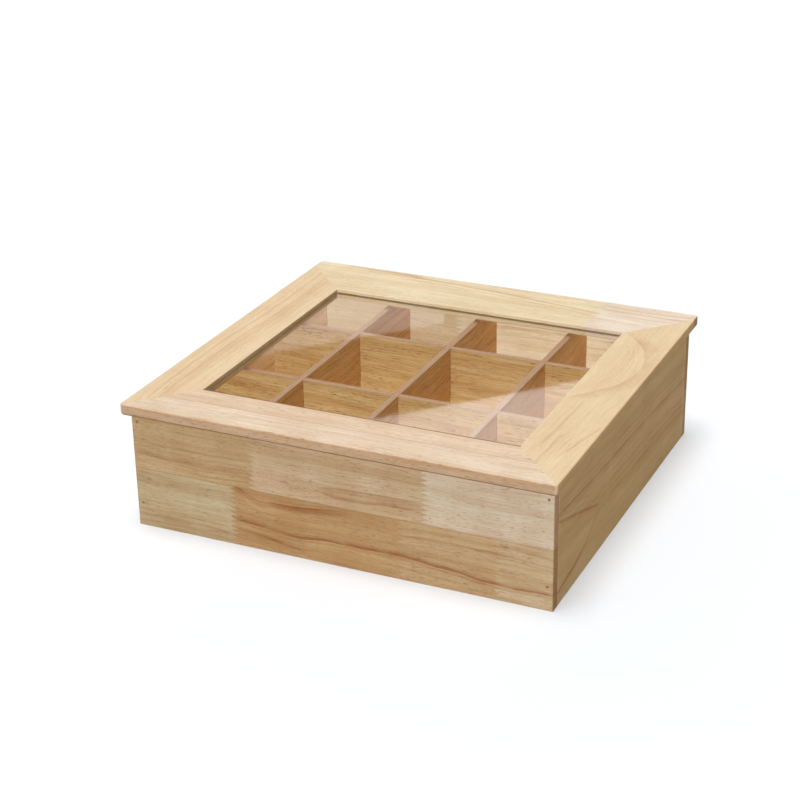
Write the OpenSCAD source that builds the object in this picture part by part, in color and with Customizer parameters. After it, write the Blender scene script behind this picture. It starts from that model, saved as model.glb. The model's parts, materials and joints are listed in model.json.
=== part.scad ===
// Wooden tea bag box: a nailed body with a drop-in divider grid,
// and a hinged lid framed round a clear pane.
// The origin is on the resting surface, under the centre of the lid. +X is to the
// right, +Z is up, and the front faces -Y.

/* [Body] */
// Outer width of the body
box_w = 302; // [220:1:420]
// Outer depth of the body, front face to back face
box_d = 284; // [200:1:360]
// Height of the body, up to its rim
box_h = 85; // [60:1:130]
// Thickness of the four upright boards
panel_t = 8; // [7:0.5:12]

/* [Bottom] */
// Thickness of the bottom board
bottom_t = 3; // [2:0.5:5]
// Height of the bottom board's underside above the resting surface
bottom_lift = 4; // [3:0.5:10]
// Depth of the groove that holds the bottom board
bottom_groove = 4; // [2:0.5:5]
// Play of the bottom board in its groove, at each edge
bottom_play = 0.3; // [0.1:0.1:1]

/* [Dividers] */
// Thickness of the dividers
divider_t = 4.5; // [3:0.5:7]
// Distance from the dividers' top edge up to the rim
divider_drop = 3; // [1:0.5:12]
// Gap between a divider's end and the board beside it
divider_play = 0.3; // [0.1:0.1:1]
// Play on each side of a half-lap slot
lap_play = 0.3; // [0.1:0.1:0.6]

/* [Brads] */
// Diameter of a brad's shank
brad_d = 1.2; // [0.8:0.1:1.6]
// Diameter of a brad's head
brad_head_d = 2; // [1.7:0.1:2.4]
// Thickness of a brad's head
brad_head_t = 0.6; // [0.4:0.1:1]
// Length of a brad
brad_len = 25; // [15:1:40]
// How far a brad's head is set below the face
brad_set = 0.8; // [0.4:0.1:1.5]
// Height of the lower brads
brad_low_z = 17; // [12:1:30]
// Distance from the rim down to the upper brads
brad_high_drop = 7; // [4:1:20]

/* [Lid] */
// Thickness of the lid's rails
lid_t = 8; // [7:0.5:12]
// How far the lid reaches past the body at the left and at the right
over_side = 4; // [2:0.5:12]
// How far the lid reaches past the body at the front
over_front = 8; // [2:0.5:15]
// How far the lid reaches past the body at the back
over_back = 8; // [7:0.5:14]
// Width of the left and right rails
side_rail_w = 40.5; // [25:0.5:60]
// Width of the front rail, and the run of every mitre
front_rail_w = 43; // [25:1:60]
// Extra width of the back rail, behind the mitres
back_extra_w = 11; // [2:1:25]
// Radius of the lid's outer corners, seen from above
corner_r = 3; // [1:0.5:8]
// Radius of the lid's top outer edge
top_edge_r = 1.2; // [0.5:0.1:2]
// Radius of the lid's bottom outer edge
low_edge_r = 2.2; // [0.5:0.1:3]

/* [Pane] */
// Thickness of the clear pane
pane_t = 2; // [1.5:0.5:3]
// Depth of the pane's top below the lid's top
pane_drop = 2.8; // [2:0.1:3.5]
// Depth of the groove that holds the pane
pane_groove = 6; // [3:0.5:12]
// Play of the pane's edge in its groove
pane_play = 0.5; // [0.2:0.1:1.5]
// Gap between the pane's faces and the groove
pane_gap = 0.1; // [0.05:0.05:0.2]

/* [Hinges] */
// Length of a hinge
hinge_len = 32; // [24:1:50]
// Distance of a hinge's middle from the body's side
hinge_inset = 56; // [25:1:80]
// Radius of the knuckles
knuckle_r = 2.2; // [2:0.1:2.5]
// Number of knuckles on one hinge
knuckle_n = 5; // [3:2:7]
// Thickness of a leaf
leaf_t = 1; // [0.8:0.1:1.2]
// Distance of a leaf's inner edge from the body's back face
leaf_w = 7; // [6:0.5:7]
// Radius of the hinge pin
pin_r = 1; // [0.8:0.1:1.2]
// Radial play of the pin in the lid leaf's knuckles
pin_play = 0.05; // [0.03:0.01:0.1]
// Radial play of the pin in the box leaf's knuckles
pin_hold = 0.01; // [0.01:0.01:0.03]
// Clearance between parts that turn past each other
turn_gap = 0.3; // [0.2:0.05:0.5]
// Play round a leaf in its mortise
leaf_play = 0.1; // [0.05:0.05:0.3]

/* [Screws] */
// Radius of a screw's shank
screw_r = 0.8; // [0.6:0.1:1]
// Radius of a screw's head
screw_head_r = 1.6; // [1.4:0.1:2]
// Length of the screws in the body
box_screw_len = 9; // [6:1:14]
// Length of the screws in the lid
lid_screw_len = 5.5; // [4:0.5:6]
// Distance between a leaf's two screws
screw_gap_x = 20; // [12:1:20]
// Width and depth of the slot in a screw's head
screw_slot = 0.4; // [0.3:0.05:0.5]
// Radial play of screws and brads in their holes
wood_play = 0.02; // [0.01:0.01:0.05]

/* [Hidden] */
$fn = 48;
// How far a cutter runs past the face that it opens
past = 1;

// Numbers of compartments across and from front to back
columns = 4;
rows = 3;

// The body, as it lies under the lid
lid_w = box_w + 2 * over_side;
lid_d = box_d + over_front + over_back;
top_z = box_h + lid_t;
front_y = over_front - lid_d / 2;
back_y = front_y + box_d;
in_x = box_w / 2 - panel_t;
in_front_y = front_y + panel_t;
in_back_y = back_y - panel_t;
in_mid_y = (in_front_y + in_back_y) / 2;
in_d = in_back_y - in_front_y;

// The divider grid
bottom_top_z = bottom_lift + bottom_t;
divider_top_z = box_h - divider_drop;
divider_mid_z = (bottom_top_z + divider_top_z) / 2;
cell_w = (2 * in_x - (columns - 1) * divider_t) / columns;
cell_d = (in_d - (rows - 1) * divider_t) / rows;
long_x = [for (i = [1 : columns - 1]) i * (cell_w + divider_t) - divider_t / 2 - in_x];
cross_y = [for (i = [1 : rows - 1]) in_front_y + i * (cell_d + divider_t) - divider_t / 2];

// The lid's opening and the ends of its mitres
open_x = lid_w / 2 - side_rail_w;
open_front_y = front_rail_w - lid_d / 2;
open_back_y = lid_d / 2 - front_rail_w - back_extra_w;
mitre_back_y = lid_d / 2 - back_extra_w;
pane_top_z = top_z - pane_drop;
pane_edge = pane_groove - pane_play;

// The hinges' places and their turning axis
hinge_x = box_w / 2 - hinge_inset;
axis_y = back_y + knuckle_r + turn_gap;
axis_z = box_h;
knuckle_len = (hinge_len - (knuckle_n - 1) * turn_gap) / knuckle_n;
knuckle_step = knuckle_len + turn_gap;
screw_y = back_y - leaf_w / 2;
screw_head_t = screw_head_r - screw_r;

board_color = "#DDBB88";
side_color = "#CFA872";
divider_color = "#C99B66";
rail_color = "#E3C497";
metal_color = "#C9A24B";
steel_color = "#8E8C86";
pane_color = [0.8, 0.88, 0.9, 0.4];

// A block between two corners
module block(low, high) {
    translate(low) cube(high - low);
}

// The space of the bottom board in its groove
module bottom_slot() {
    reach = [in_x + bottom_groove, in_d / 2 + bottom_groove];
    translate([0, in_mid_y, 0])
        block([-reach.x, -reach.y, bottom_lift], [reach.x, reach.y, bottom_top_z + bottom_play]);
}

// A brad along +Z with its head end at the face z = 0, or its hole if mouth > 0
module brad(grow, mouth) {
    translate([0, 0, brad_set - mouth])
        cylinder(r = brad_head_d / 2 + grow, h = brad_head_t + mouth);
    translate([0, 0, brad_set + brad_head_t])
        cylinder(r = brad_d / 2 + grow, h = brad_len - brad_head_t);
}

// Puts a brad at each corner of the front, or of the back, low and high
module at_brads(face_y, turn) {
    for (x = [-1, 1] * (in_x + panel_t / 2))
        for (z = [brad_low_z, box_h - brad_high_drop])
            translate([x, face_y, z]) rotate([turn, 0, 0]) children();
}

module front_brad_set(grow, mouth) {
    at_brads(front_y, -90) brad(grow, mouth);
}

module back_brad_set(grow, mouth) {
    at_brads(back_y, 90) brad(grow, mouth);
}

module front_brads() {
    color(steel_color) front_brad_set(0, 0);
}

module back_brads() {
    color(steel_color) back_brad_set(0, 0);
}

module front_panel() {
    color(board_color)
    difference() {
        block([-box_w / 2, front_y, 0], [box_w / 2, in_front_y, box_h]);
        bottom_slot();
        front_brad_set(wood_play, brad_set + past);
    }
}

module back_panel() {
    color(board_color)
    difference() {
        block([-box_w / 2, in_back_y, 0], [box_w / 2, back_y, box_h]);
        bottom_slot();
        back_brad_set(wood_play, brad_set + past);
        at_hinges() {
            leaf_mortise(-1);
            leaf_screws(-1, box_screw_len, wood_play);
        }
    }
}

// A side board between the front and back boards; side is -1 at the left, 1 at the right
module side_panel(side) {
    color(side_color)
    difference() {
        mirror([side < 0 ? 1 : 0, 0, 0])
            block([in_x, in_front_y, 0], [box_w / 2, in_back_y, box_h]);
        bottom_slot();
        front_brad_set(wood_play, brad_set + past);
        back_brad_set(wood_play, brad_set + past);
    }
}

module bottom_board() {
    reach = [in_x, in_d / 2] + (bottom_groove - bottom_play) * [1, 1];
    color(divider_color)
    translate([0, in_mid_y, 0])
        block([-reach.x, -reach.y, bottom_lift], [reach.x, reach.y, bottom_top_z]);
}

// A divider from front to back, slotted from below for the cross dividers
module long_divider(x) {
    half = divider_t / 2;
    color(divider_color)
    difference() {
        block([x - half, in_front_y + divider_play, bottom_top_z],
              [x + half, in_back_y - divider_play, divider_top_z]);
        for (y = cross_y)
            block([x - half - past, y - half - lap_play, bottom_top_z - past],
                  [x + half + past, y + half + lap_play, divider_mid_z + lap_play / 2]);
    }
}

// A divider from side to side, slotted from above for the long dividers
module cross_divider(y) {
    half = divider_t / 2;
    color(divider_color)
    difference() {
        block([-in_x + divider_play, y - half, bottom_top_z],
              [in_x - divider_play, y + half, divider_top_z]);
        for (x = long_x)
            block([x - half - lap_play, y - half - past, divider_mid_z - lap_play / 2],
                  [x + half + lap_play, y + half + past, divider_top_z + past]);
    }
}

// A rectangle from a to b with round corners
module round_rectangle(a, b, r) {
    for (x = [a.x + r, b.x - r])
        for (y = [a.y + r, b.y - r])
            translate([x, y]) circle(r);
    translate([a.x + r, a.y]) square([b.x - a.x - 2 * r, b.y - a.y]);
    translate([a.x, a.y + r]) square([b.x - a.x, b.y - a.y - 2 * r]);
}

// The lid's section across half its width: both outer edges rounded
module lid_section(half) {
    intersection() {
        round_rectangle([-half, -lid_t], [half, lid_t], top_edge_r);
        round_rectangle([-half, 0], [half, 2 * lid_t], low_edge_r);
    }
}

// The whole lid as one slab, with its edges and outer corners rounded
module lid_slab() {
    translate([0, 0, box_h])
    intersection() {
        translate([0, lid_d / 2, 0]) rotate([90, 0, 0])
            linear_extrude(lid_d) lid_section(lid_w / 2);
        rotate([90, 0, 90]) translate([0, 0, -lid_w / 2])
            linear_extrude(lid_w) lid_section(lid_d / 2);
        linear_extrude(lid_t)
            round_rectangle([-lid_w / 2, -lid_d / 2], [lid_w / 2, lid_d / 2], corner_r);
    }
}

// The groove that holds the pane
module pane_slot() {
    reach = [open_x + pane_groove, pane_groove];
    block([-reach.x, open_front_y - reach.y, pane_top_z - pane_t - pane_gap],
          [reach.x, open_back_y + reach.y, pane_top_z + pane_gap]);
}

// One rail: the part of the slab over a plan outline, less the pane's groove
module rail(outline) {
    difference() {
        intersection() {
            lid_slab();
            translate([0, 0, box_h - past]) linear_extrude(lid_t + 2 * past) polygon(outline);
        }
        pane_slot();
    }
}

module lid_front_rail() {
    y = -lid_d / 2;
    color(rail_color)
    rail([[-lid_w / 2, y], [lid_w / 2, y], [open_x, open_front_y], [-open_x, open_front_y]]);
}

module lid_back_rail() {
    x = lid_w / 2;
    color(rail_color)
    difference() {
        rail([[-open_x, open_back_y], [open_x, open_back_y], [x, mitre_back_y],
              [x, lid_d / 2], [-x, lid_d / 2], [-x, mitre_back_y]]);
        at_hinges() {
            leaf_mortise(1);
            leaf_screws(1, lid_screw_len, wood_play);
            knuckle_channel();
        }
    }
}

// A side rail; side is -1 at the left, 1 at the right
module side_rail(side) {
    color(rail_color)
    rail([[side * open_x, open_front_y], [side * lid_w / 2, -lid_d / 2],
          [side * lid_w / 2, mitre_back_y], [side * open_x, open_back_y]]);
}

module window_pane() {
    color(pane_color)
    block([-open_x - pane_edge, open_front_y - pane_edge, pane_top_z - pane_t],
          [open_x + pane_edge, open_back_y + pane_edge, pane_top_z]);
}

// Puts its children at both hinges
module at_hinges() {
    for (x = [-hinge_x, hinge_x])
        translate([x, 0, 0]) children();
}

// A rod on the turning axis, from a to b along X
module axis_rod(r, a, b) {
    translate([a, axis_y, axis_z]) rotate([0, 90, 0]) cylinder(r = r, h = b - a);
}

// The left end of knuckle i
function knuckle_x(i) = i * knuckle_step - hinge_len / 2;

// A recess for a leaf; way is -1 in the body's rim and 1 in the lid's underside
module leaf_mortise(way) {
    half = hinge_len / 2 + leaf_play;
    low = way < 0 ? axis_z - leaf_t : axis_z - past;
    high = way < 0 ? axis_z + past : axis_z + leaf_t;
    block([-half, back_y - leaf_w - leaf_play, low], [half, axis_y, high]);
}

// The round channel under the lid that the knuckles turn in
module knuckle_channel() {
    half = hinge_len / 2 + turn_gap;
    axis_rod(knuckle_r + turn_gap, -half, half);
}

// A leaf and its knuckles; way is -1 on the body and 1 on the lid
module hinge_leaf(way) {
    own = way < 0 ? 0 : 1;
    bore = pin_r + (way < 0 ? pin_hold : pin_play);
    low = way < 0 ? axis_z - leaf_t : axis_z;
    color(metal_color)
    difference() {
        union() {
            block([-hinge_len / 2, back_y - leaf_w, low], [hinge_len / 2, axis_y, low + leaf_t]);
            for (i = [own : 2 : knuckle_n - 1])
                axis_rod(knuckle_r, knuckle_x(i), knuckle_x(i) + knuckle_len);
        }
        for (i = [1 - own : 2 : knuckle_n - 1])
            axis_rod(knuckle_r + turn_gap, knuckle_x(i) - turn_gap,
                     knuckle_x(i) + knuckle_len + turn_gap);
        axis_rod(bore, -hinge_len / 2 - past, hinge_len / 2 + past);
        leaf_screws(way, box_screw_len, wood_play);
    }
}

module hinge_pin() {
    color(metal_color) axis_rod(pin_r, -hinge_len / 2, hinge_len / 2);
}

// One countersunk screw along +Z, its head flush with z = 0
module screw(length, grow) {
    cylinder(r1 = screw_head_r + grow, r2 = screw_r + grow, h = screw_head_t);
    cylinder(r = screw_r + grow, h = length + grow);
}

// The two screws of a leaf; way is -1 down into the body and 1 up into the lid
module leaf_screws(way, length, grow) {
    for (x = [-1, 1] * screw_gap_x / 2)
        translate([x, screw_y, axis_z]) rotate([way < 0 ? 180 : 0, 0, 0]) screw(length, grow);
}

// The screws of one leaf, with slotted heads
module slotted_screws(way, length) {
    color(metal_color)
    difference() {
        leaf_screws(way, length, 0);
        for (x = [-1, 1] * screw_gap_x / 2)
            translate([x, screw_y, axis_z])
                cube([3 * screw_head_r, screw_slot, 2 * screw_slot], center = true);
    }
}

front_panel();
back_panel();
side_panel(-1);  // left_side_panel
side_panel(1);  // right_side_panel
bottom_board();
long_divider(long_x[0]);  // long_divider_left
long_divider(long_x[1]);  // long_divider_middle
long_divider(long_x[2]);  // long_divider_right
cross_divider(cross_y[0]);  // cross_divider_front
cross_divider(cross_y[1]);  // cross_divider_back
front_brads();
back_brads();
lid_front_rail();
lid_back_rail();
side_rail(-1);  // lid_left_rail
side_rail(1);  // lid_right_rail
window_pane();
translate([-hinge_x, 0, 0]) hinge_leaf(-1);  // left_hinge_box_leaf
translate([-hinge_x, 0, 0]) hinge_leaf(1);  // left_hinge_lid_leaf
translate([-hinge_x, 0, 0]) hinge_pin();  // left_hinge_pin
translate([-hinge_x, 0, 0]) slotted_screws(-1, box_screw_len);  // left_hinge_box_screws
translate([-hinge_x, 0, 0]) slotted_screws(1, lid_screw_len);  // left_hinge_lid_screws
translate([hinge_x, 0, 0]) hinge_leaf(-1);  // right_hinge_box_leaf
translate([hinge_x, 0, 0]) hinge_leaf(1);  // right_hinge_lid_leaf
translate([hinge_x, 0, 0]) hinge_pin();  // right_hinge_pin
translate([hinge_x, 0, 0]) slotted_screws(-1, box_screw_len);  // right_hinge_box_screws
translate([hinge_x, 0, 0]) slotted_screws(1, lid_screw_len);  // right_hinge_lid_screws
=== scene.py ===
import json
from math import cos, pi, radians, sin

import bmesh
import bpy
from mathutils import Matrix, Vector

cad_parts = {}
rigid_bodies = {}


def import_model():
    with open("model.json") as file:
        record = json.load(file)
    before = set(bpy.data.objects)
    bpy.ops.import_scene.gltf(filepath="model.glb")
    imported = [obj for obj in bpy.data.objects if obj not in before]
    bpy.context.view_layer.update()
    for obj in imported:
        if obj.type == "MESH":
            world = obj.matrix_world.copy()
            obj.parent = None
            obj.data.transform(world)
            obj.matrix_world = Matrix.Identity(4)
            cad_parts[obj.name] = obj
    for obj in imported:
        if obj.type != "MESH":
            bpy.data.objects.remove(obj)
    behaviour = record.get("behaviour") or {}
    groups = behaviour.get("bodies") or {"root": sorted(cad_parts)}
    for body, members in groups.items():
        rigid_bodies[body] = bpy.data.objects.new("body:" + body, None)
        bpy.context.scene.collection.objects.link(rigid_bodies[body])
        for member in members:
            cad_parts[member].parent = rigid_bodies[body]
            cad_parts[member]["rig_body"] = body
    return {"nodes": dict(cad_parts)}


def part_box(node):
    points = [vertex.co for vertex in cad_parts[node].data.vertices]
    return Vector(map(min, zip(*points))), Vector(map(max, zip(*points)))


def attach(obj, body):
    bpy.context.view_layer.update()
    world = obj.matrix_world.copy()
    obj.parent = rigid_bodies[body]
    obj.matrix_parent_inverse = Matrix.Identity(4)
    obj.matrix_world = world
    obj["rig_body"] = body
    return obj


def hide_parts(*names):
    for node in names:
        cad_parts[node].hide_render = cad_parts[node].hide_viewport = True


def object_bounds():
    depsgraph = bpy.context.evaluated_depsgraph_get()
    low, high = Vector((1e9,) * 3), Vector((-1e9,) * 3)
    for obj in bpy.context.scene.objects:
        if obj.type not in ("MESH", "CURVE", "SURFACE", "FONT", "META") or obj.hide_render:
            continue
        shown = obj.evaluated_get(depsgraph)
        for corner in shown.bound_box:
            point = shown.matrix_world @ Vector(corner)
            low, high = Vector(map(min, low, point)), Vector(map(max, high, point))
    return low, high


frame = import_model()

cadLow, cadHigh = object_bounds()
mm = 0.001
number = "NodeSocketFloat"


def tone(code):
    # "#rrggbb" as a linear colour
    parts = [int(code[i:i + 2], 16) / 255 for i in (1, 3, 5)]
    return (*[c / 12.92 if c < 0.04045 else ((c + 0.055) / 1.055) ** 2.4 for c in parts], 1)


def feed(tree, socket, value):
    if isinstance(value, bpy.types.NodeSocket):
        tree.links.new(value, socket)
    else:
        socket.default_value = value


def calc(tree, operation, *values, clamp=False):
    node = tree.nodes.new("ShaderNodeMath")
    node.operation = operation
    node.use_clamp = clamp
    for socket, value in zip(node.inputs, values):
        feed(tree, socket, value)
    return node.outputs[0]


def vectorCalc(tree, operation, *values):
    node = tree.nodes.new("ShaderNodeVectorMath")
    node.operation = operation
    for socket, value in zip(node.inputs, values):
        feed(tree, socket, value)
    return node.outputs["Value" if operation == "LENGTH" else "Vector"]


def ramp(tree, value, low, high, start=0.0, end=1.0, smooth=True):
    # start below low, end above high, and a smooth step between
    node = tree.nodes.new("ShaderNodeMapRange")
    node.interpolation_type = "SMOOTHSTEP" if smooth else "LINEAR"
    for name, setting in (("Value", value), ("From Min", low), ("From Max", high),
                          ("To Min", start), ("To Max", end)):
        feed(tree, node.inputs[name], setting)
    return node.outputs["Result"]


def blend(tree, factor, first, second, mode="MIX"):
    node = tree.nodes.new("ShaderNodeMix")
    node.data_type = "RGBA"
    node.blend_type = mode
    feed(tree, node.inputs[0], factor)
    feed(tree, node.inputs[6], first)
    feed(tree, node.inputs[7], second)
    return node.outputs[2]


def noise(tree, vector, detail=2.0, rough=0.5):
    node = tree.nodes.new("ShaderNodeTexNoise")
    node.inputs["Scale"].default_value = 1
    node.inputs["Detail"].default_value = detail
    node.inputs["Roughness"].default_value = rough
    tree.links.new(vector, node.inputs["Vector"])
    return node.outputs["Fac"]


def lineNoise(tree, value, detail=2.0):
    node = tree.nodes.new("ShaderNodeTexNoise")
    node.noise_dimensions = "1D"
    node.inputs["Scale"].default_value = 1
    node.inputs["Detail"].default_value = detail
    tree.links.new(value, node.inputs["W"])
    return node.outputs["Fac"]


def newGroup(name, inputs, outputs):
    group = bpy.data.node_groups.new(name, "ShaderNodeTree")
    for label, kind, value in inputs:
        socket = group.interface.new_socket(label, in_out="INPUT", socket_type=kind)
        if value is not None:
            socket.default_value = value
    for label in outputs:
        group.interface.new_socket(label, in_out="OUTPUT", socket_type="NodeSocketFloat")
    return group, group.nodes.new("NodeGroupInput"), group.nodes.new("NodeGroupOutput")


def useGroup(tree, group, **settings):
    node = tree.nodes.new("ShaderNodeGroup")
    node.node_tree = group
    for name, value in settings.items():
        feed(tree, node.inputs[name], value)
    return node.outputs


def newMaterial(name):
    material = bpy.data.materials.new(name)
    material.use_nodes = True
    tree = material.node_tree
    return material, tree, tree.nodes["Principled BSDF"]


def mixShaders(tree, factor, first, second):
    # the surface is the first shader where factor is 0, and the second where it is 1
    mix = tree.nodes.new("ShaderNodeMixShader")
    tree.links.new(factor, mix.inputs[0])
    tree.links.new(first.outputs[0], mix.inputs[1])
    tree.links.new(second.outputs[0], mix.inputs[2])
    tree.links.new(mix.outputs[0], tree.nodes["Material Output"].inputs["Surface"])


def toObject(name, bm):
    mesh = bpy.data.meshes.new(name)
    bm.to_mesh(mesh)
    bm.free()
    piece = bpy.data.objects.new(name, mesh)
    bpy.context.scene.collection.objects.link(piece)
    return piece


# the camera, the floor and the light

cameraLook = {
    "lens": 83.78,            # on a 36 mm wide sensor
    "place": (0.49156, -1.09414, 0.60263),
    "turn": 24.982,           # degrees to the right of the box's front
    "rise": 24.32,            # degrees above the floor
    "roll": -0.998,
}

studio = {
    "floorReach": 14,                   # metres from the middle to an edge
    "floorTone": (0.734, 0.757, 0.784),
    "bounceTone": (0.22, 0.21, 0.20),   # what the floor gives back to the box
    "overheadFrom": (-0.05, -0.12, 1.0),
    "overheadPower": 1.95,
    "overheadSpread": 27,               # degrees
    # soft fills from low down, which cast no shadow and don't show in the pane
    "fills": {
        "frontFill": ((0.0, -1.0, 0.27), 1.82),
        "rightFill": ((1.0, 0.0, 0.27), 0.77),
        "leftFill": ((-1.0, 0.0, 0.27), 1.20),
        "backFill": ((0.0, 1.0, 0.27), 1.10),
    },
    "fillSpread": 10,
    "skyGrey": 0.30,
    "lowSky": (0.20, 0.29),             # where the low sky ends, as the height of a ray
    "lowGlow": 0.30,                    # what low reflections see of the sky
    "cardTurn": 47,                     # the reflected cards stand behind, to the left
    "cardDistance": 6.0,
    "frontCard": {"low": 0.5035, "high": 0.80, "left": -0.55, "right": 0.95, "power": 1.0},
    "rearCard": {"low": 0.34, "high": 0.4354, "left": -0.35, "right": 0.438, "power": 0.42},
}


def setCamera(look):
    turn, rise, roll = (radians(look[k]) for k in ("turn", "rise", "roll"))
    back = Vector((sin(turn) * cos(rise), -cos(turn) * cos(rise), sin(rise)))
    right = Vector((cos(turn), sin(turn), 0))
    up = back.cross(right)
    side = cos(roll) * right + sin(roll) * up
    above = cos(roll) * up - sin(roll) * right
    camera = bpy.data.objects.new("camera", bpy.data.cameras.new("camera"))
    camera.data.lens = look["lens"]
    camera.data.sensor_width = 36
    camera.data.clip_start = 0.01
    camera.matrix_world = (Matrix.Translation(look["place"])
                           @ Matrix((side, above, back)).transposed().to_4x4())
    bpy.context.scene.collection.objects.link(camera)
    bpy.context.scene.camera = camera


def addSun(name, towards, power, spread, fill=False):
    lamp = bpy.data.lights.new(name, "SUN")
    lamp.energy = power
    lamp.angle = radians(spread)
    lamp.use_shadow = not fill
    sun = bpy.data.objects.new(name, lamp)
    sun.rotation_euler = Vector(towards).to_track_quat("Z", "Y").to_euler()
    sun.visible_glossy = not fill
    sun.visible_transmission = not fill
    bpy.context.scene.collection.objects.link(sun)


def addCard(name, card, look):
    # a lit card that only shows in the pane's reflection; its edges are tangents seen from the box
    far = look["cardDistance"]
    turn = radians(look["cardTurn"])
    out = Vector((-sin(turn), cos(turn), 0))
    along = Vector((cos(turn), sin(turn), 0))
    lamp = bpy.data.lights.new(name, "AREA")
    lamp.shape = "RECTANGLE"
    lamp.size = (card["right"] - card["left"]) * far
    lamp.size_y = (card["high"] - card["low"]) * far
    lamp.energy = card["power"] * lamp.size * lamp.size_y * 4
    place = out * far
    place += along * far * (card["left"] + card["right"]) / 2
    place.z = far * (card["low"] + card["high"]) / 2 + cadHigh.z
    lit = bpy.data.objects.new(name, lamp)
    lit.matrix_world = (Matrix.Translation(place)
                        @ Matrix((along, Vector((0, 0, 1)), -out)).transposed().to_4x4()
                        @ Matrix.Rotation(pi, 4, "Y"))
    lit.visible_camera = False
    bpy.context.scene.collection.objects.link(lit)


def mirrored(tree, rays):
    # 1 for a ray that was reflected in a gloss, 0 for one that passed through the pane
    return calc(tree, "SUBTRACT", rays["Is Glossy Ray"], rays["Is Transmission Ray"], clamp=True)


def makeFloor(look):
    bm = bmesh.new()
    bmesh.ops.create_grid(bm, x_segments=8, y_segments=8, size=look["floorReach"])
    floor = toObject("floor", bm)
    paper, tree, shader = newMaterial("floorPaper")
    shader.inputs["Base Color"].default_value = (*look["floorTone"], 1)
    shader.inputs["Roughness"].default_value = 0.9
    shader.inputs["Specular IOR Level"].default_value = 0.0
    bounce = tree.nodes.new("ShaderNodeBsdfDiffuse")
    bounce.inputs["Color"].default_value = (*look["bounceTone"], 1)
    rays = tree.nodes.new("ShaderNodeLightPath").outputs
    # the camera sees the bright floor, also through the pane; what is lit by it doesn't
    dimmed = calc(tree, "MAXIMUM", rays["Is Diffuse Ray"], mirrored(tree, rays))
    mixShaders(tree, dimmed, shader, bounce)
    floor.data.materials.append(paper)


def makeSky(look):
    world = bpy.data.worlds.new("studioSky")
    world.use_nodes = True
    tree = world.node_tree
    sky = tree.nodes["Background"]
    sky.inputs["Color"].default_value = (1, 1, 1, 1)
    rays = tree.nodes.new("ShaderNodeLightPath").outputs
    plain = calc(tree, "MAXIMUM", rays["Is Camera Ray"], look["skyGrey"])    # white when seen
    parts = tree.nodes.new("ShaderNodeSeparateXYZ")
    tree.links.new(tree.nodes.new("ShaderNodeTexCoord").outputs["Generated"], parts.inputs[0])
    low = ramp(tree, parts.outputs[2], *look["lowSky"], 1.0, 0.0, smooth=False)
    share = ramp(tree, rays["Is Transmission Ray"], 0.0, 1.0, look["lowGlow"], 1.0, smooth=False)
    # the pane mirrors and passes only the low sky
    glow = calc(tree, "MULTIPLY", low, share)
    strength = ramp(tree, rays["Is Glossy Ray"], 0.0, 1.0, plain, glow, smooth=False)
    tree.links.new(strength, sky.inputs["Strength"])
    bpy.context.scene.world = world
    bpy.context.scene.view_settings.view_transform = "Standard"


def setStudio(look):
    makeFloor(look)
    addSun("overhead", look["overheadFrom"], look["overheadPower"], look["overheadSpread"])
    for name, (towards, power) in look["fills"].items():
        addSun(name, towards, power, look["fillSpread"], fill=True)
    for name in ("frontCard", "rearCard"):
        addCard(name, look[name], look)
    makeSky(look)


setCamera(cameraLook)
setStudio(studio)
print("camera and studio are set")


# grain, joints and figure, shared by all the wood

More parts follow.
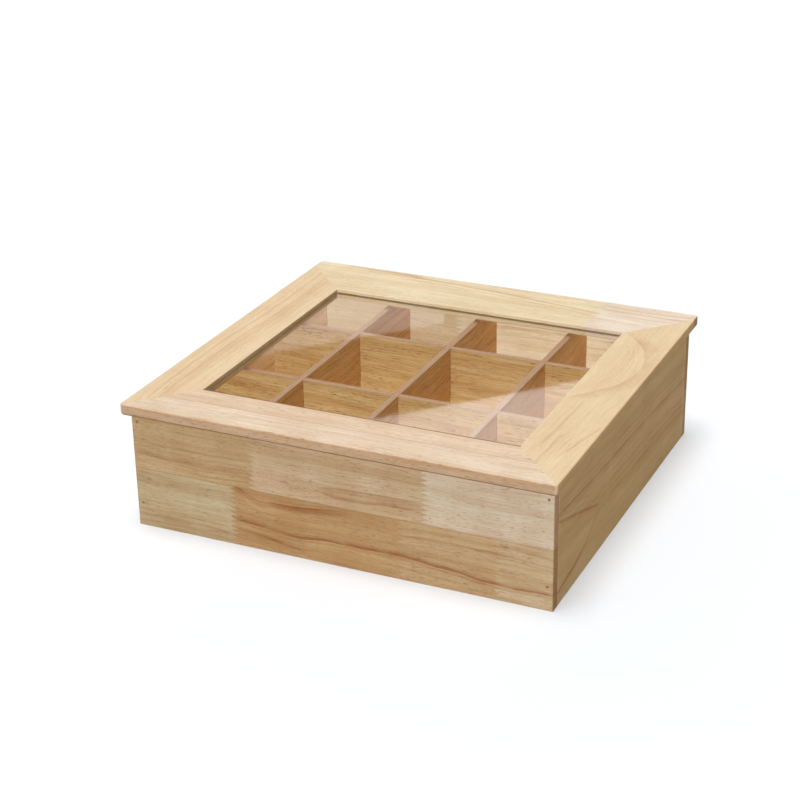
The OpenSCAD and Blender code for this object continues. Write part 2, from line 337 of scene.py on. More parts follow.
def makeGrain():
    # the vector is in millimetres: along the grain, across it, and into the board
    heart = (0.0, 19.0, 47.0)     # how far off the middle of the tree lies
    poreDensity = 2.3             # per millimetre across the grain
    group, given, out = newGroup(
        "woodGrain",
        [("Vector", "NodeSocketVector", None), ("Seed", number, 0.0), ("Tilt", number, 0.02),
         ("Ring Scale", number, 0.16), ("Pore Length", number, 9.0)],
        ["Rings", "Pores", "Fibre", "Mottle", "Flame", "Height"])
    shift = group.nodes.new("ShaderNodeCombineXYZ")
    for socket, step in zip(shift.inputs, (61.3, 17.1, 23.7)):
        feed(group, socket, calc(group, "MULTIPLY", given.outputs["Seed"], step))
    place = vectorCalc(group, "ADD", given.outputs["Vector"], shift.outputs[0])
    wander = noise(group, vectorCalc(group, "MULTIPLY", place, (0.011, 0.03, 0.03)), 1.5)
    parts = group.nodes.new("ShaderNodeSeparateXYZ")
    group.links.new(place, parts.inputs[0])
    bent = group.nodes.new("ShaderNodeCombineXYZ")
    feed(group, bent.inputs[0], parts.outputs[0])
    sway = calc(group, "MULTIPLY_ADD", wander, 14.0, parts.outputs[1])
    feed(group, bent.inputs[1], sway)
    feed(group, bent.inputs[2], calc(group, "MULTIPLY_ADD", parts.outputs[0],
                                     given.outputs["Tilt"], parts.outputs[2]))
    lane = bent.outputs[0]
    flat = vectorCalc(group, "MULTIPLY", lane, (0.0, 1.0, 1.0))
    reach = vectorCalc(group, "LENGTH", vectorCalc(group, "ADD", flat, heart))
    rings = lineNoise(group, calc(group, "MULTIPLY", reach, given.outputs["Ring Scale"]), 3.0)
    feed(group, out.inputs["Rings"], ramp(group, rings, 0.36, 0.66))
    fibre = noise(group, vectorCalc(group, "MULTIPLY", lane, (0.022, 1.1, 1.1)), 3.0, 0.6)
    feed(group, out.inputs["Fibre"], fibre)
    stretch = group.nodes.new("ShaderNodeCombineXYZ")
    feed(group, stretch.inputs[0], calc(group, "DIVIDE", 1.0, given.outputs["Pore Length"]))
    stretch.inputs[1].default_value = poreDensity
    stretch.inputs[2].default_value = poreDensity
    dashes = noise(group, vectorCalc(group, "MULTIPLY", lane, stretch.outputs[0]), 1.0, 0.5)
    patch = noise(group, vectorCalc(group, "MULTIPLY", lane, (0.03, 0.10, 0.10)), 1.0)
    level = calc(group, "MULTIPLY_ADD", patch, -0.20, 0.70)
    pores = ramp(group, dashes, level, calc(group, "ADD", level, 0.12))
    feed(group, out.inputs["Pores"], pores)
    mottle = noise(group, vectorCalc(group, "MULTIPLY", place, (0.02, 0.06, 0.06)), 3.0, 0.55)
    feed(group, out.inputs["Mottle"], mottle)
    flame = noise(group, vectorCalc(group, "MULTIPLY", place, (0.05, 0.022, 0.022)), 2.0)
    feed(group, out.inputs["Flame"], flame)
    height = calc(group, "MULTIPLY_ADD", pores, -1.0, fibre)
    feed(group, out.inputs["Height"], height)
    return group


def makeFingerJoint():
    # zigzag glue joint: Side is 0 before it and 1 past it, Line is its dark seam
    group, given, out = newGroup(
        "fingerJoint",
        [("Along", number, 0.0), ("Across", number, 0.0), ("Place", number, 0.0),
         ("Pitch", number, 3.5), ("Reach", number, 6.5)],
        ["Side", "Line"])
    half = calc(group, "MULTIPLY", given.outputs["Pitch"], 0.5)
    teeth = calc(group, "DIVIDE", calc(group, "PINGPONG", given.outputs["Across"], half), half)
    edge = calc(group, "MULTIPLY_ADD", calc(group, "SUBTRACT", teeth, 0.5),
                given.outputs["Reach"], given.outputs["Place"])
    past = calc(group, "SUBTRACT", given.outputs["Along"], edge)
    side = ramp(group, past, -0.45, 0.45)
    feed(group, out.inputs["Side"], side)
    seam = calc(group, "ABSOLUTE", calc(group, "SUBTRACT", side, 0.5))
    feed(group, out.inputs["Line"], calc(group, "MULTIPLY_ADD", seam, -2.0, 1.0))
    return group


def makeGrowthLine():
    # a dark line, sharp on one side, with fainter lines that follow it; it fades downwards,
    # or upwards where Fade is negative
    group, given, out = newGroup(
        "growthLine",
        [("Along", number, 0.0), ("Across", number, 0.0), ("Start", number, -50.0),
         ("End", number, 50.0), ("Level", number, 0.0), ("Fade", number, 3.0),
         ("Spread", number, 20.0), ("Seed", number, 0.0)],
        ["Line", "Echo"])
    drift = lineNoise(group, calc(group, "MULTIPLY_ADD", given.outputs["Along"], 0.06,
                                  given.outputs["Seed"]), 2.0)
    level = calc(group, "MULTIPLY_ADD", calc(group, "SUBTRACT", drift, 0.5), 1.3,
                 given.outputs["Level"])
    over = calc(group, "MULTIPLY", calc(group, "SUBTRACT", given.outputs["Across"], level),
                calc(group, "SIGN", given.outputs["Fade"]))
    above = ramp(group, over, 0.0, 0.8, 1.0, 0.0)
    below = ramp(group, calc(group, "MULTIPLY", over, -1.0), 0.0,
                 calc(group, "ABSOLUTE", given.outputs["Fade"]), 1.0, 0.0, smooth=False)
    starts = ramp(group, calc(group, "SUBTRACT", given.outputs["Along"], given.outputs["Start"]),
                  0.0, 12.0)
    ends = ramp(group, calc(group, "SUBTRACT", given.outputs["End"], given.outputs["Along"]),
                0.0, 14.0)
    within = calc(group, "MULTIPLY", starts, ends)
    body = calc(group, "MULTIPLY", above, calc(group, "POWER", below, 1.8))
    uneven = lineNoise(group, calc(group, "MULTIPLY_ADD", given.outputs["Along"], 0.035,
                                   given.outputs["Seed"]), 1.0)
    body = calc(group, "MULTIPLY", body, ramp(group, uneven, 0.3, 0.55, 0.45, 1.0))
    feed(group, out.inputs["Line"], calc(group, "MULTIPLY", body, within))
    echo = lineNoise(group, calc(group, "MULTIPLY_ADD", over, 0.33, given.outputs["Seed"]), 1.5)
    near = ramp(group, calc(group, "ABSOLUTE", over), 1.0, given.outputs["Spread"], 1.0, 0.0)
    feed(group, out.inputs["Echo"], calc(group, "MULTIPLY", ramp(group, echo, 0.46, 0.66),
                                         calc(group, "MULTIPLY", near, within)))
    return group


def makeBoxMask():
    # 1 inside a box between two corners
    group, given, out = newGroup(
        "boxMask", [(label, "NodeSocketVector", None) for label in ("Vector", "Low", "High")],
        ["Mask"])
    under = vectorCalc(group, "SUBTRACT", given.outputs["Low"], given.outputs["Vector"])
    over = vectorCalc(group, "SUBTRACT", given.outputs["Vector"], given.outputs["High"])
    parts = group.nodes.new("ShaderNodeSeparateXYZ")
    group.links.new(vectorCalc(group, "MAXIMUM", under, over), parts.inputs[0])
    outside = calc(group, "MAXIMUM", calc(group, "MAXIMUM", parts.outputs[0], parts.outputs[1]),
                   parts.outputs[2])
    feed(group, out.inputs["Mask"], ramp(group, outside, -0.1, 0.1, 1.0, 0.0))
    return group


boxMaskGroup = makeBoxMask()
grainGroup = makeGrain()
fingerJointGroup = makeFingerJoint()
growthLineGroup = makeGrowthLine()

# grain directions, as turns that bring along, across and depth to the pattern's own axes
turns = {
    "upright, across the box": (90, 0, 0),
    "upright, front to back": (90, 0, 90),
    "flat, across the box": (0, 0, 0),
    "flat, front to back": (0, 0, 90),
}

# a wood look: strips from the lowest level up, each with its pieces from one end to the other
plainWood = {
    "run": "upright, across the box",
    "levels": [],                 # where one glued strip ends and the next begins
    "strips": [["#cfb08a"]],
    "joints": [[]],               # finger joints of each strip
    "pitch": 3.5,
    "reach": 6.5,
    "seams": 0.35,
    "seamTint": "#a87a50",
    "lines": [],                  # growth lines: points drawn through, fade, strength, echo
    "rims": [],                   # tinted edges, real end grain and painted shade: "along" or "across", place, side, tint
    "lineTint": "#c07e46",
    "echoTint": "#dcbb94",
    "seed": 0.0,
    "tilt": 0.02,
    "ringScale": 0.16,
    "ringTint": "#d9b48f",
    "rings": 0.40,
    "poreLength": 4.0,
    "poreTint": "#94693f",
    "pores": 0.55,
    "fibres": 0.35,
    "fibreTint": "#d6b994",
    "mottle": 0.30,
    "mottleTint": "#dccbb2",
    "flames": 0.08,               # blotches across the grain
    "flameTint": "#e0c49a",
    "areas": [],                  # boxes in mm of painted light and painted shade: low, high, tint, mode, amount
    "roughness": 0.50,
    "bump": 0.25,
}


def woodCoordinates(tree, run):
    # object coordinates in millimetres, turned so that X runs along the grain
    spot = tree.nodes.new("ShaderNodeTexCoord")
    mapping = tree.nodes.new("ShaderNodeMapping")
    mapping.vector_type = "TEXTURE"
    mapping.inputs["Rotation"].default_value = [radians(a) for a in turns[run]]
    mapping.inputs["Scale"].default_value = (mm, mm, mm)
    tree.links.new(spot.outputs["Object"], mapping.inputs["Vector"])
    return mapping.outputs[0]


def drawnLevel(tree, along, points):
    # how far across a line lies that runs smoothly through a few points
    start, end = points[0][0], points[-1][0]
    low, high = min(b for a, b in points) - 1, max(b for a, b in points) + 1
    spots = [((a - start) / (end - start), (b - low) / (high - low)) for a, b in points]
    node = tree.nodes.new("ShaderNodeFloatCurve")
    curve = node.mapping.curves[0]
    curve.points[0].location = spots[0]
    curve.points[1].location = spots[-1]
    for spot in spots[1:-1]:
        curve.points.new(*spot)
    node.mapping.update()
    feed(tree, node.inputs["Value"], ramp(tree, along, start, end, smooth=False))
    return calc(tree, "MULTIPLY_ADD", node.outputs[0], high - low, low)


def gluedPieces(tree, along, across, look):
    # colour, seed and seam mask of the strips and of the pieces in each
    colour, seed, seam = None, None, None
    for i, (pieces, joints) in enumerate(zip(look["strips"], look["joints"])):
        stripColour, stripSeed, stripSeam = tone(pieces[0]), 7.7 * i + look["seed"], 0.0
        for j, (piece, place) in enumerate(zip(pieces[1:], joints)):
            joint = useGroup(tree, fingerJointGroup, Along=along, Across=across, Place=place,
                             Pitch=look["pitch"], Reach=look["reach"])
            stripColour = blend(tree, joint["Side"], stripColour, tone(piece))
            stripSeed = calc(tree, "MULTIPLY_ADD", joint["Side"], 3.1 + j, stripSeed)
            stripSeam = calc(tree, "MAXIMUM", joint["Line"], stripSeam)
        if i == 0:
            colour, seed, seam = stripColour, stripSeed, stripSeam
            continue
        level = look["levels"][i - 1]
        over = ramp(tree, across, level - 0.2, level + 0.2)
        glue = ramp(tree, calc(tree, "ABSOLUTE", calc(tree, "SUBTRACT", across, level)),
                    0.1, 0.5, 1.0, 0.0)
        colour = blend(tree, over, colour, stripColour)
        gap = calc(tree, "SUBTRACT", stripSeed, seed)
        seed = calc(tree, "MULTIPLY_ADD", over, gap, seed)
        stripGap = calc(tree, "SUBTRACT", stripSeam, seam)
        seam = calc(tree, "MAXIMUM", calc(tree, "MULTIPLY_ADD", over, stripGap, seam), glue)
    return colour, seed, seam


def woodMaterial(name, changes):
    look = {**plainWood, **changes}
    material, tree, shader = newMaterial(name)
    place = woodCoordinates(tree, look["run"])
    parts = tree.nodes.new("ShaderNodeSeparateXYZ")
    tree.links.new(place, parts.inputs[0])
    along, across = parts.outputs[0], parts.outputs[1]
    colour, seed, seam = gluedPieces(tree, along, across, look)
    grain = useGroup(tree, grainGroup, Vector=place, Seed=seed, Tilt=look["tilt"],
                     **{"Ring Scale": look["ringScale"], "Pore Length": look["poreLength"]})
    bands = calc(tree, "MULTIPLY", grain["Rings"], look["rings"])
    colour = blend(tree, bands, colour, tone(look["ringTint"]), "MULTIPLY")
    shade = ramp(tree, grain["Mottle"], 0.3, 0.7)
    colour = blend(tree, calc(tree, "MULTIPLY", shade, look["mottle"]), colour,
                   tone(look["mottleTint"]), "MULTIPLY")
    flame = ramp(tree, grain["Flame"], 0.4, 0.6)
    colour = blend(tree, calc(tree, "MULTIPLY", flame, look["flames"]), colour,
                   tone(look["flameTint"]), "MULTIPLY")
    for points, fade, strength, echo in look["lines"]:
        line = useGroup(tree, growthLineGroup, Along=along, Across=across, Start=points[0][0],
                        End=points[-1][0], Level=drawnLevel(tree, along, points), Fade=fade,
                        Seed=points[0][1] * 0.37)
        colour = blend(tree, calc(tree, "MULTIPLY", line["Echo"], echo), colour,
                       tone(look["echoTint"]), "MULTIPLY")
        colour = blend(tree, calc(tree, "MULTIPLY", line["Line"], strength), colour,
                       tone(look["lineTint"]), "MULTIPLY")
    fibre = ramp(tree, grain["Fibre"], 0.35, 0.68)
    colour = blend(tree, calc(tree, "MULTIPLY", fibre, look["fibres"]), colour,
                   tone(look["fibreTint"]), "MULTIPLY")
    colour = blend(tree, calc(tree, "MULTIPLY", grain["Pores"], look["pores"]), colour,
                   tone(look["poreTint"]), "MULTIPLY")
    if len(look["strips"]) > 1 or look["joints"][0]:
        colour = blend(tree, calc(tree, "MULTIPLY", seam, look["seams"]), colour,
                       tone(look["seamTint"]), "MULTIPLY")
    # painted light and painted shade, box by box
    for low, high, tint, mode, amount in look["areas"]:
        spot = woodCoordinates(tree, "flat, across the box")
        mask = useGroup(tree, boxMaskGroup, Vector=spot, Low=low, High=high)["Mask"]
        colour = blend(tree, calc(tree, "MULTIPLY", mask, amount), colour, tone(tint), mode)
    # edge tints: real end grain, and painted shade along some edges
    for way, spot, side, tint in look["rims"]:
        reach = calc(tree, "MULTIPLY_ADD", along if way == "along" else across, side, -side * spot)
        colour = blend(tree, ramp(tree, reach, -0.3, 0.3), colour, tone(tint), "MULTIPLY")
    if "edgeTint" in look:
        # a sawn top edge takes the oil differently
        topEdge = ramp(tree, across, look["edgeFrom"], look["edgeFrom"] + 0.3)
        colour = blend(tree, topEdge, colour, tone(look["edgeTint"]))
        colour = blend(tree, calc(tree, "MULTIPLY", grain["Fibre"], 0.4), colour,
                       tone(look["edgeFibreTint"]), "MULTIPLY")
    tree.links.new(colour, shader.inputs["Base Color"])
    tree.links.new(ramp(tree, grain["Fibre"], 0.2, 0.8, look["roughness"] - 0.06,
                        look["roughness"] + 0.10), shader.inputs["Roughness"])
    shader.inputs["Specular IOR Level"].default_value = 0.35
    relief = tree.nodes.new("ShaderNodeBump")
    relief.inputs["Strength"].default_value = look["bump"]
    relief.inputs["Distance"].default_value = 0.15 * mm
    tree.links.new(grain["Height"], relief.inputs["Height"])
    tree.links.new(relief.outputs[0], shader.inputs["Normal"])
    return material


# building with bmesh

def block(low, high, ease=0.0):
    # a board between two corners, with its edges eased
    low, high = Vector(low), Vector(high)
    size = high - low
    bm = bmesh.new()
    bmesh.ops.create_cube(bm, size=1, matrix=Matrix.Translation((low + high) / 2)
                          @ Matrix.Diagonal((*size, 1)))
    if ease:
        bmesh.ops.bevel(bm, geom=bm.edges[:], offset=ease, segments=3, profile=0.5,
                        affect="EDGES", material=-1)
    return bm


def rods(ends, radius, segments=24):
    # separate round rods, each from one point to another
    bm = bmesh.new()
    for start, end in ends:
        start, end = Vector(start), Vector(end)
        turn = (end - start).to_track_quat("Z", "Y").to_matrix().to_4x4()
        bmesh.ops.create_cone(bm, cap_ends=True, segments=segments, radius1=radius, radius2=radius,
                              depth=(end - start).length,
                              matrix=Matrix.Translation((start + end) / 2) @ turn)
    return bm


def carve(piece, cutters):
    # takes each cutter out of the piece and keeps the result as its mesh
    tools = [toObject("cutter", bm) for bm in cutters]
    for tool in tools:
        cut = piece.modifiers.new("cut", "BOOLEAN")
        cut.operation = "DIFFERENCE"
        cut.solver = "EXACT"
        cut.object = tool
    depsgraph = bpy.context.evaluated_depsgraph_get()
    carved = bpy.data.meshes.new_from_object(piece.evaluated_get(depsgraph))
    carved.name = piece.name
    piece.modifiers.clear()
    piece.data = carved
    for tool in tools:
        bpy.data.objects.remove(tool)


def finishPiece(piece, node, material):
    piece.data.materials.clear()
    piece.data.materials.append(material)
    piece.data.polygons.foreach_set("use_smooth", [True] * len(piece.data.polygons))
    piece.data.set_sharp_from_angle(angle=radians(40))
    even = piece.modifiers.new("evenNormals", "WEIGHTED_NORMAL")
    even.keep_sharp = True
    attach(piece, frame["nodes"][node]["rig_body"])
    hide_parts(node)


# the nailed body

boardCut = {"ease": 0.45 * mm, "play": 0.3 * mm}
bradCut = {"headR": 1.02 * mm, "shankR": 0.62 * mm, "set": 0.8 * mm, "headT": 0.6 * mm,
           "spotInset": 1 * mm}
hingeCut = {"leafT": 1.0 * mm, "play": 0.1 * mm, "knucklePlay": 0.3 * mm, "screwR": 0.82 * mm}

endShade = [("along", 150.5, 1, "#d9c2a6"), ("along", -150.5, -1, "#d9c2a6")]
frontLook = {
    "levels": [43.7],
    "strips": [["#cdbc9a", "#c9a87b", "#cfb48c", "#d5c09e"], ["#cfb48b", "#d8c1a1", "#e4d6c1"]],
    "joints": [[-75.5, 45.5, 113.0], [-61.3, 63.5]],
    "lines": [
        ([(-80, 44.5), (-70, 43), (-60, 38.3), (-54, 36.6), (-38, 37.2), (-20, 38), (-8, 39.8),
          (16, 44)], 5.0, 0.75, 0.3),
        ([(-80, 19), (-62, 18.2), (-42, 15.8), (-30, 14.9), (-7, 16.9), (15, 16.9), (45, 17.2),
          (68, 15.2), (90, 13.8), (104, 11.2), (118, 10.8), (157, 11.6)], -4.5, 0.75, 0.3),
        ([(-80, 12.5), (-58, 11), (-46, 9), (-20, 5)], -3.0, 0.5, 0.3),
        ([(-156, 9), (-120, 10), (-70, 7)], 6.0, 0.3, 0.4),
        ([(-14, 54.5), (0, 57), (20, 58), (45, 58.5), (64, 58)], 5.0, 0.48, 0.1),
        ([(-12, 53), (6, 50), (22, 50.4), (41, 52), (64, 52)], -5.0, 0.48, 0.1),
        ([(92, 33), (106, 34), (128, 35)], 3.0, 0.35, 0.3),
        ([(-156, 60), (-110, 56), (-56, 58)], 6.0, 0.25, 0.4),
        ([(40, 32), (90, 34), (156, 31)], 5.0, 0.25, 0.3),
    ],
    "seed": 1.0,
    "reach": 5.6,
    "seams": 0.25,
    "rings": 0.26,
    "pores": 0.45,
    "fibres": 0.34,
    "flames": 0.16,
    # painted light: the box lightens the board's inner face
    "areas": [((-152, -134.4, 3), (152, -130, 84.3), "#7a909c", "DODGE", 1.0)],
    "rims": endShade,
}
backLook = {
    "levels": [39.0],
    "strips": [["#e2cda6", "#dcc49a", "#e6d4b4"], ["#dfc9a2", "#e8d6b6", "#d9c096"]],
    "joints": [[-88.0, 52.0], [-30.0, 96.0]],
    "pores": 0.35,
    "lines": [([(-156, 20), (-60, 26), (60, 24)], 4.0, 0.5, 0.5),
              ([(-20, 64), (60, 67), (156, 60)], 4.0, 0.4, 0.5)],
    "seed": 4.0,
    "rings": 0.25,
    "fibres": 0.25,
    "mottle": 0.2,
    # painted reflection: the two boxes lighten the board's inner face, one half more than the
    # other, in place of the pane's pale reflection over the back wall
    "areas": [((-152, 130, 3), (0, 134.4, 84.3), "#698ba5", "DODGE", 1.0),
              ((0, 130, 3), (152, 134.4, 84.3), "#90a9bb", "DODGE", 1.0)],
    "rims": endShade,
}
rightSideLook = {
    "run": "upright, front to back",
    "strips": [["#d3b27f"]],
    "lines": [
        ([(-152, 66), (-131, 59), (-95, 48), (-70, 40), (-52, 34)], 4.0, 0.55, 0.2),
        ([(-152, 6), (-130, 10.5), (-94, 16), (-68, 27), (-54, 34)], 4.0, 0.75, 0.1),
        ([(-152, 67), (-57, 60), (27, 56), (150, 47)], 9.0, 0.35, 0.25),
        ([(-40, 33), (30, 30), (150, 22)], 5.0, 0.20, 0.3),
    ],
    "seed": 2.0,
    "ringTint": "#dfc3a0",
    "rings": 0.25,
    "pores": 0.25,
    "fibres": 0.2,
    "mottle": 0.15,
    # painted light: the box lightens the board's inner face
    "areas": [((140, -152, 3), (143.4, 152, 84.3), "#7a909c", "DODGE", 1.0)],
}
leftSideLook = {
    "run": "upright, front to back",
    "levels": [47.0],
    "strips": [["#d4b388", "#cfaa7c"], ["#d9bd96", "#d0ad82"]],
    "joints": [[36.0], [-48.0]],
    "lines": [([(-134, 22), (-50, 26), (46, 23)], 4.0, 0.4, 0.5)],
    "seed": 6.0,
    "rings": 0.3,
    "pores": 0.4,
    "fibres": 0.28,
    # painted light: the box lightens the board's inner face
    "areas": [((-143.4, -152, 3), (-140, 152, 84.3), "#8ca2b0", "DODGE", 1.0)],
}


def bottomSlot():
    low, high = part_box("bottom_board")
    grow = Vector((boardCut["play"], boardCut["play"], 0))
    return block(low - grow, high + grow + Vector((0, 0, boardCut["play"])))


def bradHoles(node, outward):
    # the shank and head holes of one node's four brads; outward is -1 at the front, 1 at the back
    low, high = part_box(node)
    face = (high.y if outward > 0 else low.y) + outward * bradCut["set"]
    tip = low.y if outward > 0 else high.y
    neck = face - outward * (bradCut["set"] + bradCut["headT"])
    over = face + outward * mm
    inset = bradCut["spotInset"]
    spots = [(x, z) for x in (low.x + inset, high.x - inset)
             for z in (low.z + inset, high.z - inset)]
    shanks = rods([((x, neck + outward * 0.3 * mm, z), (x, tip, z)) for x, z in spots],
                  bradCut["shankR"], 16)
    heads = rods([((x, over, z), (x, neck, z)) for x, z in spots], bradCut["headR"], 24)
    return [shanks, heads]


def hingeHoles(half):
    # mortises and screw holes; half is "box" or "lid"
    cutters = []
    play = hingeCut["play"]
    for side in ("left", "right"):
        low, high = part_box(f"{side}_hinge_{half}_leaf")
        pinLow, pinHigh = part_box(f"{side}_hinge_pin")
        axisY = (pinLow.y + pinHigh.y) / 2
        axisZ = (pinLow.z + pinHigh.z) / 2
        if half == "box":
            zs = (axisZ - hingeCut["leafT"], axisZ + mm)
        else:
            zs = (axisZ - mm, axisZ + hingeCut["leafT"])
        cutters.append(block((low.x - play, low.y - play, zs[0]), (high.x + play, axisY, zs[1])))
        if half == "lid":
            room = hingeCut["knucklePlay"]
            ends = ((low.x - room, axisY, axisZ), (high.x + room, axisY, axisZ))
            cutters.append(rods([ends], high.z - axisZ + room, 32))
        screwLow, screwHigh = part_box(f"{side}_hinge_{half}_screws")
        screwY = (screwLow.y + screwHigh.y) / 2
        headR = (screwHigh.y - screwLow.y) / 2
        cutters.append(rods([((x, screwY, screwLow.z - play), (x, screwY, screwHigh.z + play))
                             for x in (screwLow.x + headR, screwHigh.x - headR)],
                            hingeCut["screwR"], 16))
    return cutters


def buildBoard(name, node, look, cutters):
    low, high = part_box(node)
    board = toObject(name, block(low, high, boardCut["ease"]))
    carve(board, [bottomSlot(), *cutters])
    finishPiece(board, node, woodMaterial(name + "Wood", look))


buildBoard("frontBoard", "front_panel", frontLook, bradHoles("front_brads", -1))
buildBoard("backBoard", "back_panel", backLook, bradHoles("back_brads", 1) + hingeHoles("box"))
for name, node, look in (("leftBoard", "left_side_panel", leftSideLook),
                         ("rightBoard", "right_side_panel", rightSideLook)):
    buildBoard(name, node, look, [bradHoles("front_brads", -1)[0], bradHoles("back_brads", 1)[0]])
print("the four boards of the body are made")


# bottom and dividers

dividerLook = {
    "rings": 0.35,
    "ringScale": 0.22,
    "ringTint": "#d6b083",
    "pores": 0.8,
    "poreLength": 4.5,
    "fibres": 0.5,
    "mottle": 0.35,
    "edgeTint": "#c19a79",
    "edgeFibreTint": "#c9b0a4",
    "edgeFrom": 81.4,
}
bottomLook = {
    "run": "flat, across the box",
    "strips": [["#dcc6a2"]],
    "rings": 0.4,
    "lines": [([(-150, 20), (-40, 44), (60, 40), (150, 16)], 6.0, 0.4, 0.4),
              ([(-150, -60), (0, -40), (150, -66)], 6.0, 0.3, 0.4)],
    "seed": 9.0,
}
# one wood in two tones: the long dividers darker and oranger as painted shade, the cross dividers
# paler as painted light
litAndShadedDividerTones = {"long": "#dcb478", "cross": "#e9d29a"}
gridCut = {"ease": 0.3 * mm, "slotPlay": 0.3 * mm, "over": 2 * mm}

longNodes = ["long_divider_left", "long_divider_middle", "long_divider_right"]
crossNodes = ["cross_divider_front", "cross_divider_back"]


def lapSlots(node, others, fromTop):
    # half-lap slots where the other dividers pass
    low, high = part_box(node)
    middle = (low.z + high.z) / 2
    zs = (middle - gridCut["slotPlay"] / 2, high.z + gridCut["over"])
    if not fromTop:
        zs = (low.z - gridCut["over"], middle + gridCut["slotPlay"] / 2)
    slots = []
    for other in others:
        a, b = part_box(other)
        if fromTop:
            start = (a.x - gridCut["slotPlay"], low.y - gridCut["over"], zs[0])
            end = (b.x + gridCut["slotPlay"], high.y + gridCut["over"], zs[1])
        else:
            start = (low.x - gridCut["over"], a.y - gridCut["slotPlay"], zs[0])
            end = (high.x + gridCut["over"], b.y + gridCut["slotPlay"], zs[1])
        slots.append(block(start, end))
    return slots


def buildDivider(node, others, fromTop, run, seed):
    low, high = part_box(node)
    name = node.replace("divider_", "") + "Divider"
    divider = toObject(name, block(low, high, gridCut["ease"]))
    carve(divider, lapSlots(node, others, fromTop))
    kind = node.split("_")[0]
    look = {**dividerLook, "run": run, "seed": seed, "strips": [[litAndShadedDividerTones[kind]]]}
    finishPiece(divider, node, woodMaterial(name + "Wood", look))


for i, node in enumerate(longNodes):
    buildDivider(node, crossNodes, False, "upright, front to back", 11.0 + 2.3 * i)
for i, node in enumerate(crossNodes):
    buildDivider(node, longNodes, True, "upright, across the box", 21.0 + 3.1 * i)

bottomLow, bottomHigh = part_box("bottom_board")
bottom = toObject("bottomPly", block(bottomLow, bottomHigh, 0.2 * mm))
finishPiece(bottom, "bottom_board", woodMaterial("bottomPlyWood", bottomLook))
print("the divider grid and the bottom are made")


# the lid's frame

lidCut = {"cornerR": 3.0 * mm, "topR": 1.0 * mm, "lowR": 2.2 * mm, "grooveDepth": 6 * mm,
          "lowGap": 0.1 * mm, "topGap": 0.8 * mm, "paneEdge": 5.5 * mm, "backExtra": 11 * mm}

grooveShade = ((-120.7, -113.2, 88.0), (120.7, 102.2, 91.1), "#6b5236", "MULTIPLY", 0.4)
frontRailLook = {
    "run": "flat, across the box",
    "levels": [-126.5],
    "strips": [["#dfd0bb"], ["#dac5ad"]],
    "joints": [[], []],
    "seed": 31.0,
    "tilt": 0.004,
    "rings": 0.25,
    "pores": 0.45,
    "poreLength": 5.0,
    # painted shade: the box darkens the lid's lower front edge, where little light reaches
    "areas": [((-156, -151, 84), (156, -147.8, 86.3), "#a57d58", "MULTIPLY", 0.7)],
    # both rims are painted shade: a darker outer front face, and a dark line along the inner edge
    # of the opening
    "rims": [("across", -149.6, -1, "#efddcc"), ("across", -107.9, 1, "#9f8466")],
}
backRailLook = {
    "run": "flat, across the box",
    "strips": [["#dfd1b2", "#e2d7c8"]],
    "joints": [[84.0]],
    "lines": [([(-135, 148), (-100, 147), (-55, 145.5)], 4.0, 0.6, 0.3),
              ([(-80, 145), (10, 137), (92, 124)], 6.0, 0.25, 0.4),
              ([(80, 138), (120, 132), (160, 136)], 5.0, 0.30, 0.4)],
    "lineTint": "#cf9d80",
    "seed": 35.0,
    "rings": 0.22,
    "pores": 0.35,
    "fibres": 0.25,
    "rims": [("along", 154.5, 1, "#cdb394"), ("along", -154.5, -1, "#cdb394")],
}
leftRailLook = {
    "run": "flat, front to back",
    "strips": [["#d8c2a0"]],
    "lines": [([(-150, 132), (-40, 137), (60, 133), (150, 138)], 6.0, 0.2, 0.4)],
    "seed": 39.0,
    "ringTint": "#dfc3a0",
    "rings": 0.16,
    "pores": 0.25,
    "fibres": 0.14,
    "mottle": 0.15,
    # painted shade on the rail's inner face, which faces away from the light
    "rims": [("across", 114.8, -1, "#d3cfbc")],
}
rightRailLook = {
    "run": "flat, front to back",
    "strips": [["#d8c3a0"]],
    "lines": [
        ([(-30, -112), (-6, -132), (7, -141), (37, -147), (63, -142), (87, -127), (104, -106)],
         16.0, 0.34, 0.18),
        ([(-105, -124.5), (-60, -127), (-22, -128)], 3.0, 0.28, 0.15),
        ([(-120, -139), (-85, -147), (-55, -153)], 3.0, 0.28, 0.15),
        ([(-160, -133), (-120, -131), (-70, -134)], 4.0, 0.20, 0.15),
    ],
    "lineTint": "#bf8e5e",
    "seed": 43.0,
    "ringTint": "#dfc3a0",
    "rings": 0.14,
    "pores": 0.22,
    "fibres": 0.14,
    "mottle": 0.15,
    # painted shade: the rim darkens the rail's outer side face
    "rims": [("across", -154.6, -1, "#f6e4c6")],
}


def lidSlab():
    # the whole lid as one slab, with its corners and edges rounded
    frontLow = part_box("lid_front_rail")[0]
    low = Vector((cadLow.x, frontLow.y, frontLow.z))
    high = Vector((cadHigh.x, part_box("lid_back_rail")[1].y, cadHigh.z))
    bm = block(low, high)

    def edgesWhere(test):
        return [e for e in bm.edges if all(test(v.co) for v in e.verts)]

    def roundOff(edges, radius, segments):
        bmesh.ops.bevel(bm, geom=edges, offset=radius, segments=segments, profile=0.5,
                        affect="EDGES", material=-1)

    uprights = [e for e in bm.edges if abs(e.verts[0].co.z - e.verts[1].co.z) > mm]
    roundOff(uprights, lidCut["cornerR"], 8)
    roundOff(edgesWhere(lambda p: p.z > high.z - 1e-6), lidCut["topR"], 5)
    roundOff(edgesWhere(lambda p: p.z < low.z + 1e-6), lidCut["lowR"], 6)
    return bm


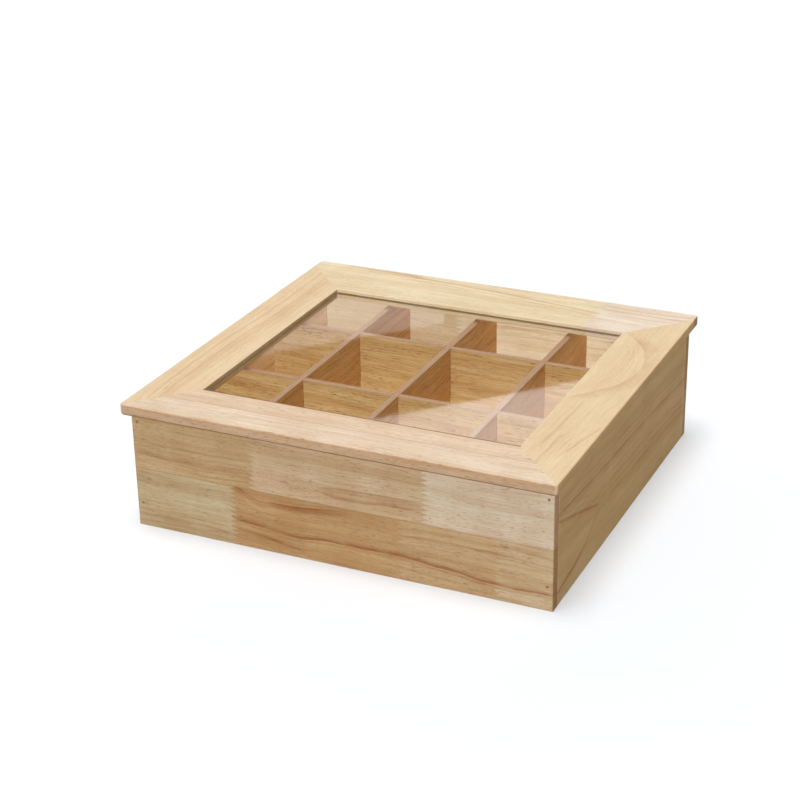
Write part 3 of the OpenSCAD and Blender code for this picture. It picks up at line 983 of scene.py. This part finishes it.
def cutAway(bm, point, outward):
    # removes what lies past the plane and closes the cut
    cut = bmesh.ops.bisect_plane(bm, geom=bm.verts[:] + bm.edges[:] + bm.faces[:],
                                 plane_co=point, plane_no=outward, clear_outer=True, dist=1e-7)
    rim = [g for g in cut["geom_cut"] if isinstance(g, bmesh.types.BMEdge)]
    bmesh.ops.contextual_create(bm, geom=rim)


paneLow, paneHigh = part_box("window_pane")
openX = paneHigh.x - lidCut["paneEdge"]
openFront = paneLow.y + lidCut["paneEdge"]
openBack = paneHigh.y - lidCut["paneEdge"]
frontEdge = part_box("lid_front_rail")[0].y
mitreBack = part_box("lid_back_rail")[1].y - lidCut["backExtra"]


def mitrePlane(side, atBack):
    # a point on the mitre and its normal, which points to the back rail or the front rail
    inner = Vector((side * openX, openBack if atBack else openFront, 0))
    outer = Vector((side * cadHigh.x, mitreBack if atBack else frontEdge, 0))
    run = outer - inner
    normal = Vector((-run.y, run.x, 0)).normalized()
    wanted = 1 if atBack else -1
    return inner, normal if normal.y * wanted > 0 else -normal


def paneGroove():
    depth = lidCut["grooveDepth"]
    return block((-openX - depth, openFront - depth, paneLow.z - lidCut["lowGap"]),
                 (openX + depth, openBack + depth, paneHigh.z + lidCut["topGap"]))


def buildRail(name, node, look, planes, cutters=()):
    bm = lidSlab()
    for point, outward in planes:
        cutAway(bm, point, outward)
    rail = toObject(name, bm)
    carve(rail, [paneGroove(), *cutters])
    look = {**look, "areas": [grooveShade, *look.get("areas", [])]}
    finishPiece(rail, node, woodMaterial(name + "Wood", look))


def flipped(plane):
    return plane[0], -plane[1]


buildRail("frontRail", "lid_front_rail", frontRailLook,
          [(Vector((0, openFront, 0)), Vector((0, 1, 0)))]
          + [flipped(mitrePlane(side, False)) for side in (-1, 1)])
buildRail("backRail", "lid_back_rail", backRailLook,
          [(Vector((0, openBack, 0)), Vector((0, -1, 0)))]
          + [flipped(mitrePlane(side, True)) for side in (-1, 1)], hingeHoles("lid"))
for name, node, look, side in (("leftRail", "lid_left_rail", leftRailLook, -1),
                               ("rightRail", "lid_right_rail", rightRailLook, 1)):
    buildRail(name, node, look,
              [(Vector((side * openX, 0, 0)), Vector((-side, 0, 0))),
               mitrePlane(side, False), mitrePlane(side, True)])
print("the lid's rails are made")


# the clear pane

paneLook = {"tint": "#f7fafa", "roughness": 0.015, "smudges": 0.03, "ior": 1.49, "ease": 0.2 * mm}


def paneMaterial(look):
    material, tree, shader = newMaterial("clearPane")
    place = woodCoordinates(tree, "flat, across the box")
    smear = noise(tree, vectorCalc(tree, "MULTIPLY", place, (0.018, 0.03, 0.03)), 3.0, 0.6)
    tree.links.new(ramp(tree, smear, 0.45, 0.75, look["roughness"], look["smudges"]),
                   shader.inputs["Roughness"])
    shader.inputs["Base Color"].default_value = tone(look["tint"])
    shader.inputs["Transmission Weight"].default_value = 1
    shader.inputs["IOR"].default_value = look["ior"]
    clear = tree.nodes.new("ShaderNodeBsdfTransparent")
    clear.inputs["Color"].default_value = (1, 1, 1, 1)
    rays = tree.nodes.new("ShaderNodeLightPath")
    lampRay = calc(tree, "MAXIMUM", rays.outputs["Is Shadow Ray"], rays.outputs["Is Diffuse Ray"])
    mixShaders(tree, lampRay, shader, clear)
    return material


pane = toObject("clearPane", block(paneLow, paneHigh, paneLook["ease"]))
finishPiece(pane, "window_pane", paneMaterial(paneLook))
print("the pane is made")


# hinges, screws and brads keep their CAD shapes

brassLook = {"tone": "#cfa65c", "dark": "#b48c48", "roughness": 0.32, "metallic": 0.55}
steelLook = {"tone": "#a98258", "dark": "#7d5f3f", "roughness": 0.6, "metallic": 0.2}


def metalMaterial(name, look):
    material, tree, shader = newMaterial(name)
    place = woodCoordinates(tree, "flat, across the box")
    cloud = noise(tree, vectorCalc(tree, "MULTIPLY", place, (0.25, 0.25, 0.25)), 4.0, 0.6)
    brushed = noise(tree, vectorCalc(tree, "MULTIPLY", place, (0.3, 5.0, 5.0)), 2.0)
    tarnish = ramp(tree, cloud, 0.45, 0.75)
    tree.links.new(blend(tree, tarnish, tone(look["tone"]), tone(look["dark"])),
                   shader.inputs["Base Color"])
    tree.links.new(ramp(tree, brushed, 0.3, 0.7, look["roughness"], look["roughness"] + 0.15),
                   shader.inputs["Roughness"])
    shader.inputs["Metallic"].default_value = look["metallic"]
    relief = tree.nodes.new("ShaderNodeBump")
    relief.inputs["Strength"].default_value = 0.15
    relief.inputs["Distance"].default_value = 0.05 * mm
    tree.links.new(brushed, relief.inputs["Height"])
    tree.links.new(relief.outputs[0], shader.inputs["Normal"])
    return material


brass = metalMaterial("hingeBrass", brassLook)
steel = metalMaterial("bradSteel", steelLook)
for node, shape in frame["nodes"].items():
    if "_hinge_" in node:
        shape.data.materials.clear()
        shape.data.materials.append(brass)
    elif node.endswith("_brads"):
        shape.data.materials.clear()
        shape.data.materials.append(steel)
print("the metal is finished")
